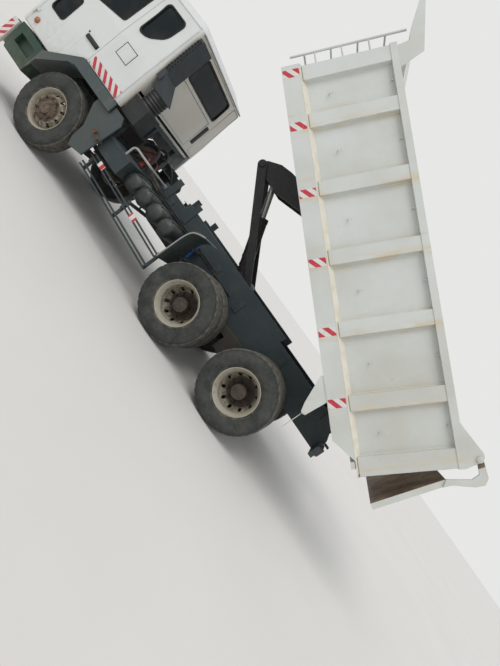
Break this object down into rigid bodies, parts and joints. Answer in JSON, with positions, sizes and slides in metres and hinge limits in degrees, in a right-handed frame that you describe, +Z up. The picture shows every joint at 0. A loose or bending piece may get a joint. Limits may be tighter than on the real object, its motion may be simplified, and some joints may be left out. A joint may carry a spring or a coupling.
{
  "type": "dump truck",
  "caption": "Three-axle tipper truck with a sleeper cab, a ribbed bed half raised on a scissor hoist, and a top-hung tailgate.",
  "frame": {"origin": "on the ground below the middle of the whole outline", "axes": "+X forward along the truck, +Y to its left, +Z up"},
  "size_m": [8.6073, 2.91, 5.1822],
  "materials": {
    "cab_paint": "semi-gloss white paint",
    "bed_paint": "satin pale grey-green paint",
    "chassis_paint": "dusty dark paint",
    "grey_paint": "matt grey-green paint",
    "rim_paint": "worn cream paint with rust",
    "tyre": "dusty black rubber",
    "glass": "tinted glass",
    "black_plastic": "matt black plastic",
    "interior": "grey trim",
    "iron": "oily cast iron"
  },
  "bodies": {
    "chassis": {"frame_rails": "chassis_paint", "subframe": "chassis_paint", "front_axle": "chassis_paint", "rear_axles": "chassis_paint", "leaf_springs": "chassis_paint", "engine_block": "iron", "driveline": "chassis_paint", "air_tanks": "chassis_paint", "battery_box": "chassis_paint", "handrail": "rim_paint", "filter_can": "chassis_paint", "fuel_tank": "chassis_paint", "exhaust": "iron", "side_guards": "chassis_paint", "front_bumper": "grey_paint", "cab_steps": "grey_paint", "mudguards": "grey_paint", "air_cleaner": "black_plastic", "cab_support": "chassis_paint", "tail_bar": "chassis_paint", "wheel_arches": "grey_paint"},
    "cab": {"cab_shell": "cab_paint", "cab_glass": "glass", "cab_front": "black_plastic", "snorkel": "black_plastic", "cab_interior": "interior"},
    "door_left": {"door_left": "cab_paint", "door_glass_left": "glass", "mirror_left": "black_plastic"},
    "door_right": {"door_right": "cab_paint", "door_glass_right": "glass", "mirror_right": "black_plastic"},
    "knuckle_left": {"knuckle_left": "chassis_paint"},
    "knuckle_right": {"knuckle_right": "chassis_paint"},
    "wheel_front_left": {"rim_front_left": "rim_paint", "tyre_front_left": "tyre"},
    "wheel_front_right": {"rim_front_right": "rim_paint", "tyre_front_right": "tyre"},
    "wheels_middle_left": {"rims_middle_left": "rim_paint", "tyres_middle_left": "tyre"},
    "wheels_middle_right": {"rims_middle_right": "rim_paint", "tyres_middle_right": "tyre"},
    "wheels_rear_left": {"rims_rear_left": "rim_paint", "tyres_rear_left": "tyre"},
    "wheels_rear_right": {"rims_rear_right": "rim_paint", "tyres_rear_right": "tyre"},
    "bed": {"bed_floor": "bed_paint", "bed_side_left": "bed_paint", "bed_side_right": "bed_paint", "bed_front_wall": "bed_paint", "bed_ladder": "bed_paint", "mud_flaps": "bed_paint", "hoist_bed_lugs": "chassis_paint"},
    "tailgate": {"tailgate": "bed_paint"},
    "hoist_arm": {"hoist_arm": "chassis_paint"},
    "hoist_lever": {"hoist_lever": "chassis_paint"},
    "hoist_cylinder": {"hoist_cylinder": "chassis_paint"},
    "hoist_rod": {"hoist_rod": "chassis_paint"}
  },
  "joints": [
    {"name": "bed_tip", "type": "hinge", "parent": "chassis", "child": "bed", "pos_m": [-2.9363, 0, 1.195], "axis": [0, -1, 0], "range_deg": [-27.7, 17.3]},
    {"name": "tailgate_swing", "type": "hinge", "parent": "bed", "child": "tailgate", "pos_m": [-4.04939, 0, 2.33414], "axis": [0, 1, 0], "range_deg": [-13, 60]},
    {"name": "hoist_arm_swing", "type": "hinge", "parent": "chassis", "child": "hoist_arm", "pos_m": [-0.6813, 0, 1.311], "axis": [0, -1, 0], "range_deg": [-44, 28]},
    {"name": "hoist_lever_swing", "type": "hinge", "parent": "hoist_arm", "child": "hoist_lever", "pos_m": [0.6367, 0, 2.499], "axis": [0, -1, 0], "range_deg": [-37, 59]},
    {"name": "hoist_cylinder_swing", "type": "hinge", "parent": "chassis", "child": "hoist_cylinder", "pos_m": [-0.5033, 0, 1.286], "axis": [0, -1, 0], "range_deg": [-54, 34]},
    {"name": "hoist_rod_slide", "type": "slide", "parent": "hoist_cylinder", "child": "hoist_rod", "axis": [0.5805, 0, 0.8142], "range_m": [-0.255, 0.16]},
    {"name": "cab_tilt", "type": "hinge", "parent": "chassis", "child": "cab", "pos_m": [4.0537, 0, 1], "axis": [0, 1, 0], "range_deg": [0, 45]},
    {"name": "door_left_swing", "type": "hinge", "parent": "cab", "child": "door_left", "pos_m": [4.0387, 1.193, 1.7], "axis": [0, 0, -1], "range_deg": [0, 65]},
    {"name": "door_right_swing", "type": "hinge", "parent": "cab", "child": "door_right", "pos_m": [4.0387, -1.193, 1.7], "axis": [0, 0, 1], "range_deg": [0, 65]},
    {"name": "steer_left", "type": "hinge", "parent": "chassis", "child": "knuckle_left", "pos_m": [2.7137, 0.9, 0.53], "axis": [0, 0, 1], "range_deg": [-35, 35]},
    {"name": "steer_right", "type": "hinge", "parent": "chassis", "child": "knuckle_right", "pos_m": [2.7137, -0.9, 0.53], "axis": [0, 0, 1], "range_deg": [-35, 35]},
    {"name": "spin_front_left", "type": "hinge", "parent": "knuckle_left", "child": "wheel_front_left", "pos_m": [2.7137, 1.06, 0.53], "axis": [0, 1, 0], "continuous": true},
    {"name": "spin_front_right", "type": "hinge", "parent": "knuckle_right", "child": "wheel_front_right", "pos_m": [2.7137, -1.06, 0.53], "axis": [0, 1, 0], "continuous": true},
    {"name": "spin_middle_left", "type": "hinge", "parent": "chassis", "child": "wheels_middle_left", "pos_m": [-0.6163, 0.925, 0.53], "axis": [0, 1, 0], "continuous": true},
    {"name": "spin_middle_right", "type": "hinge", "parent": "chassis", "child": "wheels_middle_right", "pos_m": [-0.6163, -0.925, 0.53], "axis": [0, 1, 0], "continuous": true},
    {"name": "spin_rear_left", "type": "hinge", "parent": "chassis", "child": "wheels_rear_left", "pos_m": [-1.9463, 0.925, 0.53], "axis": [0, 1, 0], "continuous": true},
    {"name": "spin_rear_right", "type": "hinge", "parent": "chassis", "child": "wheels_rear_right", "pos_m": [-1.9463, -0.925, 0.53], "axis": [0, 1, 0], "continuous": true}
  ],
  "couplings": [
    {"joint": "hoist_arm_swing", "follows": "bed_tip", "ratio": 1.574},
    {"joint": "hoist_lever_swing", "follows": "bed_tip", "ratio": -2.114},
    {"joint": "hoist_cylinder_swing", "follows": "bed_tip", "ratio": 1.915},
    {"joint": "hoist_rod_slide", "follows": "bed_tip", "m_per_rad": 0.5225},
    {"joint": "steer_right", "follows": "steer_left", "ratio": 1}
  ]
}
